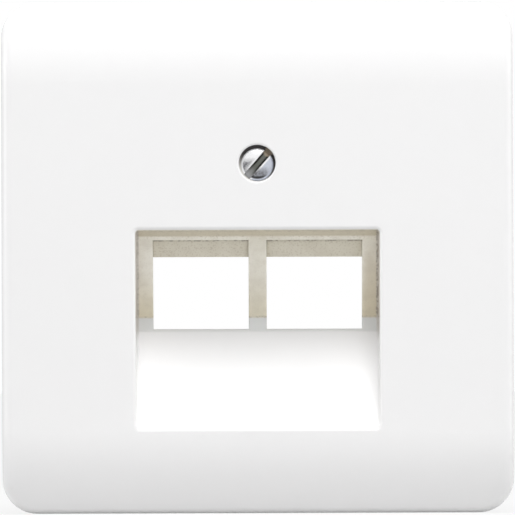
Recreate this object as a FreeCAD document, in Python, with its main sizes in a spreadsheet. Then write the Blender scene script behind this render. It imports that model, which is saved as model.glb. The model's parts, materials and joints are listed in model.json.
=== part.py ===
"""Two-port angled-outlet network faceplate with its captive fixing screw.

Row frame, in millimetres: X to the right and Z up as the plate is seen on the wall, Y into the wall.
The origin is the centre of the plate in the plane of its rear rim, so the front is at Y = -plate_depth.
Depths are counted from the front face backwards. Heights are counted from the centre of the plate,
and sizes that lie below it (sill, chute, lower end of the ports) are written as positive numbers.
"""
import FreeCAD, Part
import Sketcher
import math
import os

doc = FreeCAD.newDocument("angled_outlet_faceplate")

# ------------------------------------------------------------------ driving sizes
SIZES = {
    # outer shell
    "plate_width": 71.0,
    "plate_height": 71.0,
    "plate_depth": 11.5,
    "corner_radius": 4.8,
    "front_wall": 2.0,
    "skirt_wall": 1.8,
    "edge_round": 1.5,
    "crown_band": 11.0,
    "crown_drop": 3.3,
    # sloped recess in the front
    "recess_width": 33.8,
    "recess_top": 4.0,
    "flat_below_recess": 0.55,
    "recess_depth": 8.3,
    "lip_depth": 2.3,
    "lip_drop": 0.89,
    "sill_top": 8.35,
    "sill_bottom": 10.25,
    "chute_hollow": 0.5,
    "mouth_round": 0.55,
    "recess_corner_round": 0.4,
    # ports in the sloped wall, and the housing behind it
    "port_pitch": 15.8,
    "port_width": 13.3,
    "port_top": 0.1,
    "port_bottom": 9.95,
    "bay_top": 2.45,
    "bay_set_back": 1.1,
    "port_wall": 1.4,
    "window_round": 0.2,
    "housing_side_wall": 1.5,
    "housing_top_wall": 1.6,
    # captive screw and its boss
    "bore_height": 13.1,
    "head_bore": 5.1,
    "bore_round": 0.3,
    "seat_depth": 2.3,
    "collar_length": 1.5,
    "boss_diameter": 8.0,
    "boss_recess": 1.5,
    "head_clearance": 0.3,
    "waist_clearance": 0.25,
    "hanging_gap": 0.05,
    "thread_clearance": 0.4,
    "thread_diameter": 3.0,
    "screw_length": 15.0,
    "waist_diameter": 2.3,
    "waist_length": 7.65,
    "tip_chamfer": 0.5,
    "head_sink": 0.1,
    "head_dome": 0.6,
    "slot_width": 1.0,
    "slot_depth": 1.2,
    "slot_angle": 49.0,
    # stiffening ribs behind the front
    "rib_thickness": 1.2,
    "rib_recess": 3.0,
    "flank_rib_drop": 6.0,
    "foot_rib_spacing": 21.0,
}

sheet = doc.addObject("Spreadsheet::Sheet", "sizes")
for row, (alias, size) in enumerate(SIZES.items(), start=1):
    sheet.set(f"A{row}", alias)
    sheet.set(f"B{row}", str(size))
    sheet.setAlias(f"B{row}", alias)
doc.recompute()

# ------------------------------------------------------------------ places worked out from the sizes
# Every text below is an expression over the sheet; sketches and features are bound to them.
FRONT = "(-sizes.plate_depth)"
IN_FRONT_WALL = "(-sizes.plate_depth + sizes.front_wall / 2)"
HALF_WIDTH = "(sizes.plate_width / 2)"
HALF_HEIGHT = "(sizes.plate_height / 2)"
IN_SKIRT_X = "(sizes.plate_width / 2 - sizes.skirt_wall / 2)"
IN_SKIRT_Z = "(sizes.plate_height / 2 - sizes.skirt_wall / 2)"

CROWN_START = "(sizes.plate_height / 2 - sizes.crown_band)"
CROWN_RADIUS = "((sizes.crown_band ^ 2 + sizes.crown_drop ^ 2) / (2 * sizes.crown_drop))"

LIP_BACK = "(-sizes.plate_depth + sizes.lip_depth)"
LIP_FOOT = "(sizes.recess_top - sizes.lip_drop)"
SILL_FACE = "(-sizes.plate_depth + sizes.recess_depth)"
HOUSING_THICKNESS = "(sizes.bay_set_back + sizes.port_wall)"
HOUSING_TOP = "(sizes.recess_top + sizes.housing_top_wall)"
HALF_HOUSING = "(sizes.recess_width / 2 + sizes.housing_side_wall)"
SIDE_POST = "((sizes.recess_width - sizes.port_pitch - sizes.port_width) / 2)"
CENTRE_POST = "(sizes.port_pitch - sizes.port_width)"
PORT_LEAN = f"((sizes.recess_depth - sizes.lip_depth) / ({LIP_FOOT} + sizes.sill_top))"
RECESS_BOTTOM = "(sizes.plate_height / 2 - sizes.crown_band - sizes.flat_below_recess)"
CHUTE_FALL = f"({RECESS_BOTTOM} - sizes.sill_bottom)"

HEAD_RADIUS = "(sizes.head_bore / 2 - sizes.head_clearance)"
HEAD_HEIGHT = "(sizes.seat_depth - sizes.head_sink)"
SEAT = "(-sizes.plate_depth + sizes.seat_depth)"
# The captive screw is loose: it hangs down in its bore until hardly any gap is left under its waist.
SCREW_AXIS = "(sizes.bore_height - sizes.waist_clearance + sizes.hanging_gap)"


def minus(text):
    return f"(-{text})"


def port_face(height):
    """Y of the sloped face of the posts at a height."""
    return f"({LIP_BACK} + ({LIP_FOOT} - {height}) * {PORT_LEAN})"


def crown_depth(radius, reach):
    """Y of an arc about the crown's axis, at a distance above the start of the crown."""
    return f"({FRONT} + {CROWN_RADIUS} - sqrt({radius} ^ 2 - ({reach}) ^ 2))"


def arc_radius(chord_squared, rise):
    return f"(({chord_squared}) / (8 * {rise}) + {rise} / 2)"


# ------------------------------------------------------------------ helpers for sketches and features
def number(holder, text):
    return float(holder.evalExpression(text))


def origin_plane(body, role):
    return next(item for item in body.Origin.OriginFeatures if item.Role == role)


def new_sketch(body, name, role, **offset):
    """Sketch on one of the body's own planes; offset gives its shift or turn as expressions."""
    sketch = body.newObject("Sketcher::SketchObject", name)
    sketch.AttachmentSupport = [(origin_plane(body, role), "")]
    sketch.MapMode = "FlatFace"
    for part_of_offset, text in offset.items():
        path = "Rotation.Angle" if part_of_offset == "turn" else f"Base.{part_of_offset}"
        sketch.setExpression(f"AttachmentOffset.{path}", text)
    doc.recompute()
    return sketch


def bind(sketch, name, text, kind, *where):
    index = sketch.addConstraint(Sketcher.Constraint(kind, *where, number(sketch, text)))
    sketch.renameConstraint(index, name)
    sketch.setExpression(f"Constraints.{name}", text)


def arc_between(start, end, radius):
    """Short arc from start to end; a positive radius bulges it to the left of the way it runs."""
    chord = end - start
    middle = (start + end) * 0.5
    across = FreeCAD.Vector(-chord.y, chord.x, 0).normalize()
    rise = abs(radius) - math.sqrt(radius ** 2 - (chord.Length / 2) ** 2)
    return Part.ArcOfCircle(start, middle + across * math.copysign(rise, radius), end)


def draw_outline(sketch, corners, arcs=None):
    """Closed outline through corners given as expressions; arcs maps a side to (radius, bulge)."""
    arcs = arcs or {}
    points = [FreeCAD.Vector(number(sketch, u), number(sketch, v), 0) for u, v in corners]
    first = sketch.GeometryCount
    tag = f"o{first}"
    heads = []
    for side, start in enumerate(points):
        end = points[(side + 1) % len(points)]
        if side in arcs:
            radius, bulge = arcs[side]
            geometry = sketch.addGeometry(arc_between(start, end, bulge * number(sketch, radius)), False)
            bind(sketch, f"{tag}_radius{side}", radius, "Radius", geometry)
        else:
            geometry = sketch.addGeometry(Part.LineSegment(start, end), False)
        runs_forward = sketch.getPoint(geometry, 1).distanceToPoint(start) < 1e-6
        heads.append((geometry, 1, 2) if runs_forward else (geometry, 2, 1))
    for side, (geometry, head, tail) in enumerate(heads):
        following = heads[(side + 1) % len(heads)]
        sketch.addConstraint(Sketcher.Constraint("Coincident", geometry, tail, *following[:2]))
        u, v = corners[side]
        bind(sketch, f"{tag}_u{side}", u, "DistanceX", -1, 1, geometry, head)
        bind(sketch, f"{tag}_v{side}", v, "DistanceY", -1, 1, geometry, head)


def draw_rectangle(sketch, left, right, low, high):
    draw_outline(sketch, [(left, low), (right, low), (right, high), (left, high)])


def draw_circle(sketch, u, v, radius):
    centre = FreeCAD.Vector(number(sketch, u), number(sketch, v), 0)
    drawn = Part.Circle(centre, FreeCAD.Vector(0, 0, 1), number(sketch, radius))
    circle = sketch.addGeometry(drawn, False)
    bind(sketch, "centre_u", u, "DistanceX", -1, 1, circle, 3)
    bind(sketch, "centre_v", v, "DistanceY", -1, 1, circle, 3)
    bind(sketch, "radius", radius, "Radius", circle)


def settle(body, feature, change):
    """Recompute and make sure that the feature added (+1) or removed (-1) material."""
    before = feature.BaseFeature.Shape.Volume if feature.BaseFeature else 0.0
    doc.recompute()
    after = feature.Shape.Volume
    if (after - before) * change <= 0:
        raise RuntimeError(f"{feature.Label} changed the volume from {before:.2f} to {after:.2f}")
    return feature


def add_prism(body, kind, name, sketch, length=None, symmetric=False, reverse=False):
    """Pad or Pocket of a sketch; with no length it cuts through all."""
    feature = body.newObject(f"PartDesign::{kind}", name)
    feature.Profile = sketch
    feature.SideType = "Symmetric" if symmetric else "One side"
    feature.Reversed = reverse
    if length is None:
        feature.Type = "ThroughAll"
    else:
        feature.setExpression("Length", length)
    return settle(body, feature, 1 if kind == "Pad" else -1)


def round_edges(body, name, base, radius, wanted):
    """Fillet on the edges of the base feature for which wanted(edge) is true."""
    chosen = [f"Edge{i}" for i, edge in enumerate(base.Shape.Edges, start=1) if wanted(edge)]
    fillet = body.newObject("PartDesign::Fillet", name)
    fillet.Base = (base, chosen)
    fillet.setExpression("Radius", radius)
    doc.recompute()
    return fillet


def mirror_left(body, name, features):
    mirrored = body.newObject("PartDesign::Mirrored", name)
    mirrored.Originals = features
    mirrored.MirrorPlane = (origin_plane(body, "YZ_Plane"), [""])
    body.Tip = mirrored
    doc.recompute()
    return mirrored


def middle_of(edge):
    return edge.valueAt((edge.FirstParameter + edge.LastParameter) / 2)


def runs_along(edge, axis):
    """True for a straight edge within 10 degrees of an axis."""
    if not isinstance(edge.Curve, (Part.Line, Part.LineSegment)):
        return False
    return abs(edge.tangentAt(edge.FirstParameter).dot(axis)) > math.cos(math.radians(10))


INWARDS = FreeCAD.Vector(0, 1, 0)
NEAR = 0.01  # what counts as the same place
OUTSIDE = 1.0  # how far a cutting outline reaches past the solid

# ------------------------------------------------------------------ faceplate: outer shell
plate = doc.addObject("PartDesign::Body", "faceplate")
plate.Label = "faceplate"
half_width = number(sheet, HALF_WIDTH)
half_height = number(sheet, HALF_HEIGHT)
front = number(sheet, FRONT)

rim = new_sketch(plate, "RimOutline", "XZ_Plane")
draw_rectangle(rim, minus(HALF_WIDTH), HALF_WIDTH, minus(HALF_HEIGHT), HALF_HEIGHT)
block = add_prism(plate, "Pad", "Block", rim, length="sizes.plate_depth")

hollow_outline = new_sketch(plate, "HollowOutline", "XZ_Plane")
draw_rectangle(
    hollow_outline,
    minus(f"({HALF_WIDTH} - sizes.skirt_wall)"), f"({HALF_WIDTH} - sizes.skirt_wall)",
    minus(f"({HALF_HEIGHT} - sizes.skirt_wall)"), f"({HALF_HEIGHT} - sizes.skirt_wall)",
)
hollow = add_prism(plate, "Pocket", "Hollow", hollow_outline,
                   length="sizes.plate_depth - sizes.front_wall", reverse=True)
skirt_inside = half_width - number(sheet, "sizes.skirt_wall")


def is_inner_corner_edge(edge):
    return runs_along(edge, INWARDS) and abs(middle_of(edge).x) < skirt_inside + NEAR


hollow = round_edges(plate, "HollowCornerRounds", hollow, "sizes.corner_radius - sizes.skirt_wall",
                     is_inner_corner_edge)

# ------------------------------------------------------------------ faceplate: behind the front
# The front bends back towards the top and bottom edges. The wall behind those bends keeps its thickness.
backing_outline = new_sketch(plate, "CrownBackingOutline", "YZ_Plane")
inner_crown = f"({CROWN_RADIUS} - sizes.front_wall)"
inner_front = "(-sizes.plate_depth + sizes.front_wall)"
backing_end = crown_depth(inner_crown, "sizes.crown_band - sizes.skirt_wall / 2")
for direction, bulge in ((str, 1), (minus, -1)):
    draw_outline(
        backing_outline,
        [
            (inner_front, direction(CROWN_START)),
            (backing_end, direction(IN_SKIRT_Z)),
            (IN_FRONT_WALL, direction(IN_SKIRT_Z)),
            (IN_FRONT_WALL, direction(CROWN_START)),
        ],
        arcs={0: (inner_crown, bulge)},
    )
add_prism(plate, "Pad", "CrownBacking", backing_outline, length="2 * " + IN_SKIRT_X, symmetric=True)

# The housing of the ports is one wall thick in Y all along the sloped wall, the sill and the chute.
housing_outline = new_sketch(plate, "HousingOutline", "YZ_Plane")
housing_bend = f"({SILL_FACE} + {HOUSING_THICKNESS})"
chute_run = f"(sizes.recess_depth + {HOUSING_THICKNESS} - sizes.front_wall / 2)"
housing_foot = minus(f"(sizes.sill_bottom + {CHUTE_FALL} * {chute_run} / sizes.recess_depth)")
draw_outline(
    housing_outline,
    [
        (IN_FRONT_WALL, HOUSING_TOP),
        (f"{port_face(HOUSING_TOP)} + {HOUSING_THICKNESS}", HOUSING_TOP),
        (housing_bend, "-sizes.sill_top"),
        (housing_bend, "-sizes.sill_bottom"),
        (IN_FRONT_WALL, housing_foot),
    ],
)
add_prism(plate, "Pad", "PortHousing", housing_outline, length="2 * " + HALF_HOUSING, symmetric=True)

boss_outline = new_sketch(plate, "BossOutline", "XZ_Plane", z="sizes.boss_recess")
draw_circle(boss_outline, "0", "sizes.bore_height", "sizes.boss_diameter / 2")
add_prism(plate, "Pad", "ScrewBoss", boss_outline,
          length="sizes.plate_depth - sizes.boss_recess - sizes.front_wall / 2")


def add_rib(name, left, right, low, high):
    outline = new_sketch(plate, name + "Outline", "XZ_Plane", z="sizes.rib_recess")
    draw_rectangle(outline, left, right, low, high)
    return add_prism(plate, "Pad", name, outline,
                     length="sizes.plate_depth - sizes.rib_recess - sizes.front_wall / 2")


HALF_RIB = "(sizes.rib_thickness / 2)"
add_rib("CentreRib", minus(HALF_RIB), HALF_RIB, "sizes.recess_top", IN_SKIRT_Z)
add_rib("CrossRib", minus(IN_SKIRT_X), IN_SKIRT_X,
        f"sizes.bore_height - {HALF_RIB}", f"sizes.bore_height + {HALF_RIB}")
foot_rib = add_rib("FootRib",
                   f"sizes.foot_rib_spacing / 2 - {HALF_RIB}", f"sizes.foot_rib_spacing / 2 + {HALF_RIB}",
                   minus(IN_SKIRT_Z), "-sizes.sill_bottom")
flank_rib = add_rib("FlankRib", f"{HALF_HOUSING} - sizes.housing_side_wall / 2", IN_SKIRT_X,
                    f"-sizes.flank_rib_drop - {HALF_RIB}", f"-sizes.flank_rib_drop + {HALF_RIB}")
ribs = mirror_left(plate, "RibPairs", [foot_rib, flank_rib])

# ------------------------------------------------------------------ faceplate: corners and crowned front
def is_corner_edge(edge):
    spot = middle_of(edge)
    return abs(spot.x) > half_width - NEAR and abs(spot.z) > half_height - NEAR


round_edges(plate, "CornerRounds", ribs, "sizes.corner_radius", is_corner_edge)

crown_outline = new_sketch(plate, "CrownOutline", "YZ_Plane")
crown_end = crown_depth(CROWN_RADIUS, f"sizes.crown_band + {OUTSIDE}")
for direction, bulge in ((str, 1), (minus, -1)):
    beyond = direction(f"({HALF_HEIGHT} + {OUTSIDE})")
    draw_outline(
        crown_outline,
        [
            (FRONT, direction(CROWN_START)),
            (crown_end, beyond),
            (f"{FRONT} - {OUTSIDE}", beyond),
            (f"{FRONT} - {OUTSIDE}", direction(CROWN_START)),
        ],
        arcs={0: (CROWN_RADIUS, bulge)},
    )
crown = add_prism(plate, "Pocket", "Crown", crown_outline, symmetric=True)

crown_start = number(sheet, CROWN_START)
crown_radius = number(sheet, CROWN_RADIUS)


def is_front_face(face):
    """The flat front and the two crowned bands above and below it."""
    if isinstance(face.Surface, Part.Cylinder):
        return abs(face.Surface.Radius - crown_radius) < NEAR and abs(face.Surface.Axis.x) > 1 - NEAR
    return abs(face.CenterOfMass.y - front) < NEAR


def front_faces_at(shape, edge):
    return sum(1 for face in shape.ancestorsOfType(edge, Part.Face) if is_front_face(face))


front_shape = crown.Shape


def is_perimeter_edge(edge):
    return front_faces_at(front_shape, edge) == 1


round_edges(plate, "PerimeterRound", crown, "sizes.edge_round", is_perimeter_edge)

# ------------------------------------------------------------------ faceplate: recess, bays and ports
recess_outline = new_sketch(plate, "RecessOutline", "YZ_Plane")
chute_radius = arc_radius(f"sizes.recess_depth ^ 2 + {CHUTE_FALL} ^ 2", "sizes.chute_hollow")
draw_outline(
    recess_outline,
    [
        (FRONT, "sizes.recess_top"),
        (LIP_BACK, LIP_FOOT),
        (SILL_FACE, "-sizes.sill_top"),
        (SILL_FACE, "-sizes.sill_bottom"),
        (FRONT, minus(RECESS_BOTTOM)),
    ],
    arcs={3: (chute_radius, 1)},
)
recess = add_prism(plate, "Pocket", "Recess", recess_outline, length="sizes.recess_width", symmetric=True)
half_recess = number(sheet, "sizes.recess_width / 2")
recess_top = number(sheet, "sizes.recess_top")
recess_bottom = -number(sheet, RECESS_BOTTOM)
sill_face = number(sheet, SILL_FACE)


def is_recess_corner_edge(edge):
    """Where the recess side walls meet the lip, the sloped wall, the sill and the chute."""
    spot = middle_of(edge)
    beside = abs(abs(spot.x) - half_recess) < NEAR
    in_recess = front + NEAR < spot.y < sill_face + NEAR
    return beside and in_recess and recess_bottom < spot.z < recess_top - NEAR


recess = round_edges(plate, "RecessCorners", recess, "sizes.recess_corner_round", is_recess_corner_edge)


def is_mouth_edge(edge):
    box = edge.BoundBox
    flat = abs(box.YMin - front) < NEAR and abs(box.YMax - front) < NEAR
    inside = max(abs(box.XMin), abs(box.XMax)) < half_recess + NEAR
    return flat and inside and recess_bottom - NEAR < box.ZMin and box.ZMax < recess_top + NEAR


round_edges(plate, "RecessMouth", recess, "sizes.mouth_round", is_mouth_edge)

bay_outline = new_sketch(plate, "BayOutline", "YZ_Plane", z="sizes.port_pitch / 2")
draw_outline(
    bay_outline,
    [
        (port_face("sizes.bay_top"), "sizes.bay_top"),
        (f"{port_face('sizes.bay_top')} + sizes.bay_set_back", "sizes.bay_top"),
        (f"{SILL_FACE} + sizes.bay_set_back", "-sizes.sill_top"),
        (SILL_FACE, "-sizes.sill_top"),
    ],
)
bay = add_prism(plate, "Pocket", "Bay", bay_outline, length="sizes.port_width", symmetric=True)

port_outline = new_sketch(plate, "PortOutline", "XZ_Plane")
draw_rectangle(port_outline,
               f"{CENTRE_POST} / 2", f"{CENTRE_POST} / 2 + sizes.port_width",
               "-sizes.port_bottom", "sizes.port_top")
port = add_prism(plate, "Pocket", "Port", port_outline, symmetric=True)
pair = mirror_left(plate, "PortPair", [bay, port])
window_inner = number(sheet, f"{CENTRE_POST} / 2")
window_outer = number(sheet, f"{CENTRE_POST} / 2 + sizes.port_width")
window_ends = (number(sheet, "sizes.bay_top"), -number(sheet, "sizes.port_bottom"))


def is_window_edge(edge):
    """Front edges round each opening: beside bay and port, over the bay and under the port."""
    spot = middle_of(edge)
    on_wall = abs(spot.y - min(number(sheet, port_face(spot.z)), sill_face)) < NEAR
    beside = min(abs(abs(spot.x) - window_inner), abs(abs(spot.x) - window_outer)) < NEAR
    between = window_inner < abs(spot.x) < window_outer
    at_end = between and min(abs(spot.z - end) for end in window_ends) < NEAR
    return on_wall and (beside or at_end)


# The rounding takes no more than a third of a post, so that a narrow post keeps a flat face.
round_edges(plate, "WindowRounds", pair,
            f"min(sizes.window_round; {SIDE_POST} / 3; {CENTRE_POST} / 3)", is_window_edge)

# ------------------------------------------------------------------ faceplate: stepped bore of the screw
# Turned about the screw: rounded mouth, bore for the head, collar that keeps the thread, relief behind it.
bore_outline = new_sketch(plate, "ScrewBoreOutline", "YZ_Plane", y="sizes.bore_height")
collar_back = f"({SEAT} + sizes.collar_length)"
collar_radius = "(sizes.waist_diameter / 2 + sizes.waist_clearance)"
relief_radius = "(sizes.thread_diameter / 2 + sizes.thread_clearance)"
mouth_radius = "(sizes.head_bore / 2 + sizes.bore_round)"
draw_outline(
    bore_outline,
    [
        (FRONT, "0"),
        (FRONT, mouth_radius),
        (f"{FRONT} + sizes.bore_round", "sizes.head_bore / 2"),
        (SEAT, "sizes.head_bore / 2"),
        (SEAT, collar_radius),
        (collar_back, collar_radius),
        (collar_back, relief_radius),
        ("0", relief_radius),
        ("0", "0"),
    ],
    arcs={1: ("sizes.bore_round", -1)},
)
bore = plate.newObject("PartDesign::Groove", "ScrewBore")
bore.Profile = bore_outline
bore.ReferenceAxis = (bore_outline, ["H_Axis"])
settle(plate, bore, -1)

# ------------------------------------------------------------------ captive screw
# Drawn about its own axis: the seat under the head is at its origin and the thread points along +Y.
screw = doc.addObject("PartDesign::Body", "fixing_screw")
screw.Label = "fixing_screw"
screw.setExpression("Placement.Base.y", SEAT)
screw.setExpression("Placement.Base.z", SCREW_AXIS)

turned_outline = new_sketch(screw, "TurnedOutline", "YZ_Plane")
waist_radius = "(sizes.waist_diameter / 2)"
thread_radius = "(sizes.thread_diameter / 2)"
dome_edge = f"(-{HEAD_HEIGHT} + sizes.head_dome)"
dome_radius = f"(({HEAD_RADIUS} ^ 2 + sizes.head_dome ^ 2) / (2 * sizes.head_dome))"
draw_outline(
    turned_outline,
    [
        (f"-{HEAD_HEIGHT}", "0"),
        (dome_edge, HEAD_RADIUS),
        ("0", HEAD_RADIUS),
        ("0", waist_radius),
        ("sizes.waist_length", waist_radius),
        (f"sizes.waist_length + {thread_radius} - {waist_radius}", thread_radius),
        ("sizes.screw_length - sizes.tip_chamfer", thread_radius),
        ("sizes.screw_length", f"{thread_radius} - sizes.tip_chamfer"),
        ("sizes.screw_length", "0"),
    ],
    arcs={0: (dome_radius, 1)},
)
turned = screw.newObject("PartDesign::Revolution", "Turned")
turned.Profile = turned_outline
turned.ReferenceAxis = (turned_outline, ["H_Axis"])
settle(screw, turned, 1)

slot_outline = new_sketch(screw, "SlotOutline", "XZ_Plane", z=HEAD_HEIGHT, turn="sizes.slot_angle")
draw_rectangle(slot_outline, "-sizes.head_bore / 2", "sizes.head_bore / 2",
               "-sizes.slot_width / 2", "sizes.slot_width / 2")
add_prism(screw, "Pocket", "DriverSlot", slot_outline, length="sizes.slot_depth")

# ------------------------------------------------------------------ checks and export
doc.recompute()
for item in doc.Objects:
    if "Invalid" in item.State or "Error" in item.State:
        raise RuntimeError(f"{item.Label} could not be worked out: {item.State}")
for body in (plate, screw):
    if body.Shape.isNull() or not body.Shape.isValid() or len(body.Shape.Solids) != 1:
        raise RuntimeError(f"{body.Label} is not one sound solid")

os.makedirs("parts", exist_ok=True)
for body in (plate, screw):
    body.Shape.exportStep(f"parts/{body.Label}.step")
    print(body.Label, f"{body.Shape.Volume:.1f} mm3", body.Shape.BoundBox)
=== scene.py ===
# %% [markdown]
# # A white network outlet faceplate with its captive screw
# The plate is one injection moulding: a square front, crowned towards its top and bottom edges, with a
# sloped recess that turns the plugs downwards. One small slotted screw holds it. The solids come from the
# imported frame. This file gives them their finish, swaps the plain screw for a detailed one, and sets up
# the light and the camera.

# %% Load the frame
import json
import math

import bmesh
import bpy
from mathutils import Matrix, Vector


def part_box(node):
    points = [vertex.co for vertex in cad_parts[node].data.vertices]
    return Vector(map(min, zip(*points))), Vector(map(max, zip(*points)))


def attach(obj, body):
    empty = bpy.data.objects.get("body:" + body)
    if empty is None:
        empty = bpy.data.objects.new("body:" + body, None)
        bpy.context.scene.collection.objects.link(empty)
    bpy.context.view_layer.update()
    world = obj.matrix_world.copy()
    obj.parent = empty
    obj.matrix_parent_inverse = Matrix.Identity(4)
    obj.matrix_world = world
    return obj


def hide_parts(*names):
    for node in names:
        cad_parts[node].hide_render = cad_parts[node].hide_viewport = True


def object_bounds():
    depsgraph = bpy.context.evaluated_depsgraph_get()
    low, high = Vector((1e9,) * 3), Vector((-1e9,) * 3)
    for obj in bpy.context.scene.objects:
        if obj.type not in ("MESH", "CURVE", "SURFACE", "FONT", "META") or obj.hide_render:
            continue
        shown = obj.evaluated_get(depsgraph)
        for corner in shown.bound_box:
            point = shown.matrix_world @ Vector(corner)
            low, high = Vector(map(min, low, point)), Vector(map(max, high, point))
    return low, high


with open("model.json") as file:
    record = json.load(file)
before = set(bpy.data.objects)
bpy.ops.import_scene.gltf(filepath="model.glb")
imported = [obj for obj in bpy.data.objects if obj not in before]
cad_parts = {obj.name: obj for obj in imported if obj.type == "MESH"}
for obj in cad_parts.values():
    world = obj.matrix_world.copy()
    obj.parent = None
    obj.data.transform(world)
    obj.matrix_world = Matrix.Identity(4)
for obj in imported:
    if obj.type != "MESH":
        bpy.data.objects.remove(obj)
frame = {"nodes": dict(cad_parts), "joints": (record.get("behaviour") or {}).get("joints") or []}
cad_low, cad_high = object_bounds()
MM = 0.001
print("CAD box in mm:", [round(side / MM, 2) for side in cad_high - cad_low])

# %% [markdown]
# ## Places read from the frame
# Nothing is measured twice. The plate's box says where its front is, and the screw's box says how wide its
# head is and where its tip lies. The screw's joint gives the axis that it turns about.

# %% Places of the plate and the screw
front_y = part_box("faceplate")[0].y
screw_low, screw_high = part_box("fixing_screw")
screw_axis = Vector(frame["joints"][0]["pos_m"])
head_radius = (screw_high.x - screw_low.x) / 2
print("front at", round(front_y / MM, 2), "mm, screw axis at height", round(screw_axis.z / MM, 2), "mm")


# %% [markdown]
# ## A short way to build a node network
# A procedural material is a small network: texture coordinates feed noises, the noises are mixed into a
# colour, a roughness and a bump. A Geometry Nodes tree is a network too, only it carries shapes. `Network`
# keeps the calls short for both, so that everything below reads as a list of what it is made of.

# %% Helper for node networks
class Network:
    """Short calls for adding nodes to a tree and joining them."""

    def __init__(self, tree):
        self.tree = tree

    def feed(self, socket, value):
        """Join another node's output to a socket, or write a plain value into it."""
        if isinstance(value, bpy.types.NodeSocket):
            self.tree.links.new(value, socket)
        else:
            socket.default_value = value

    def node(self, kind, settings=None, **inputs):
        made = self.tree.nodes.new(kind)
        for name, value in (settings or {}).items():
            setattr(made, name, value)
        for name, value in inputs.items():
            self.feed(made.inputs[name.replace("_", " ")], value)
        return made

    def math(self, operation, *values, clamp=False):
        made = self.node("ShaderNodeMath", {"operation": operation, "use_clamp": clamp})
        for socket, value in zip(made.inputs, values):
            self.feed(socket, value)
        return made.outputs[0]


# %% [markdown]
# Most of the work is done by masks, which are 1 where a finish lies and 0 elsewhere. A mask starts as a
# smooth step over a short stretch of height, depth or distance. Several are multiplied, so that only the
# part that they share is left. `over` and `under` take their stretch in millimetres.

# %% Masks
class Masks(Network):
    """Smooth steps, and ways to join them."""

    def ramp(self, value, low, high, at_low=0.0, at_high=1.0):
        """A smooth step: at_low where value is under low, at_high where it is over high."""
        made = self.node("ShaderNodeMapRange", {"interpolation_type": "SMOOTHSTEP"}, Value=value,
                         From_Min=low, From_Max=high, To_Min=at_low, To_Max=at_high)
        return made.outputs["Result"]

    def over(self, value, stretch, most=1.0, least=0.0):
        """`most` above the stretch and `least` below it."""
        return self.ramp(value, stretch[0] * MM, stretch[1] * MM, least, most)

    def under(self, value, stretch, most=1.0, least=0.0):
        """`most` below the stretch and `least` above it."""
        return self.ramp(value, stretch[0] * MM, stretch[1] * MM, most, least)

    def all_of(self, *masks):
        """The product of masks: 1 only where each of them is 1."""
        product = masks[0]
        for mask in masks[1:]:
            product = self.math("MULTIPLY", product, mask)
        return product

    def highest(self, *masks):
        """The highest of masks: 1 where any of them is 1."""
        top = masks[0]
        for mask in masks[1:]:
            top = self.math("MAXIMUM", top, mask)
        return top

    def outside(self, mask):
        return self.math("SUBTRACT", 1.0, mask)


# %% [markdown]
# A material's network starts from Object coordinates, in metres, so a pattern stays fixed to its piece
# wherever the camera stands. `Finish` adds the few texture nodes that the materials below share.

# %% Helper for materials
# A Mix node has a set of sockets for each kind of value, and these are the ones for colours.
MIX_COLOUR_INPUTS = (6, 7)
MIX_COLOUR_OUTPUT = 2


class Finish(Masks):
    """A material under construction, with its nodes and the Principled shader they feed."""

    def __init__(self, name):
        self.material = bpy.data.materials.new(name)
        self.material.use_nodes = True
        super().__init__(self.material.node_tree)
        self.shader = self.tree.nodes["Principled BSDF"]
        texture_space = self.tree.nodes.new("ShaderNodeTexCoord").outputs
        self.place, self.outward = texture_space["Object"], texture_space["Normal"]

    def along(self, axis):
        return self.node("ShaderNodeSeparateXYZ", Vector=self.place).outputs[axis]

    def normal(self, axis):
        return self.node("ShaderNodeSeparateXYZ", Vector=self.outward).outputs[axis]

    def from_line(self, x, z):
        """How far a point lies from the line along Y through x and z."""
        level = self.node("ShaderNodeCombineXYZ", X=self.along("X"), Z=self.along("Z")).outputs[0]
        made = self.node("ShaderNodeVectorMath", {"operation": "DISTANCE"})
        self.feed(made.inputs[0], level)
        self.feed(made.inputs[1], (x, 0.0, z))
        return made.outputs["Value"]

    def noise(self, size, detail=2.0, rough=0.5, stretch=(1, 1, 1)):
        """Noise whose blotches are about `size` millimetres across, stretched along the axes."""
        place = self.node("ShaderNodeMapping", Vector=self.place,
                          Scale=[1 / (size * MM * factor) for factor in stretch]).outputs["Vector"]
        return self.node("ShaderNodeTexNoise", Vector=place, Scale=1.0, Detail=detail,
                         Roughness=rough).outputs["Fac"]

    def crease(self, reach):
        """1 in tight corners, 0 on open faces: where dust gathers and a cloth doesn't reach, and where
        painted shade goes.
        """
        made = self.node("ShaderNodeAmbientOcclusion", {"samples": 8}, Distance=reach * MM)
        return self.outside(made.outputs["AO"])

    def blend(self, factor, first, second):
        made = self.node("ShaderNodeMix", {"data_type": "RGBA"}, Factor=factor)
        for index, colour in zip(MIX_COLOUR_INPUTS, (first, second)):
            self.feed(made.inputs[index], colour)
        return made.outputs[MIX_COLOUR_OUTPUT]

    def bump(self, height, distance, strength, under=None):
        """Raise a height up to `distance` millimetres, on top of another bump if one is given."""
        made = self.node("ShaderNodeBump", Height=height, Distance=distance * MM, Strength=strength)
        if under is not None:
            self.feed(made.inputs["Normal"], under)
        return made.outputs["Normal"]

    def set(self, **inputs):
        for name, value in inputs.items():
            self.feed(self.shader.inputs[name.replace("_", " ")], value)
        return self.material


def paint(mesh, material):
    """Give a mesh one material and no other."""
    mesh.materials.clear()
    mesh.materials.append(material)
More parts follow.
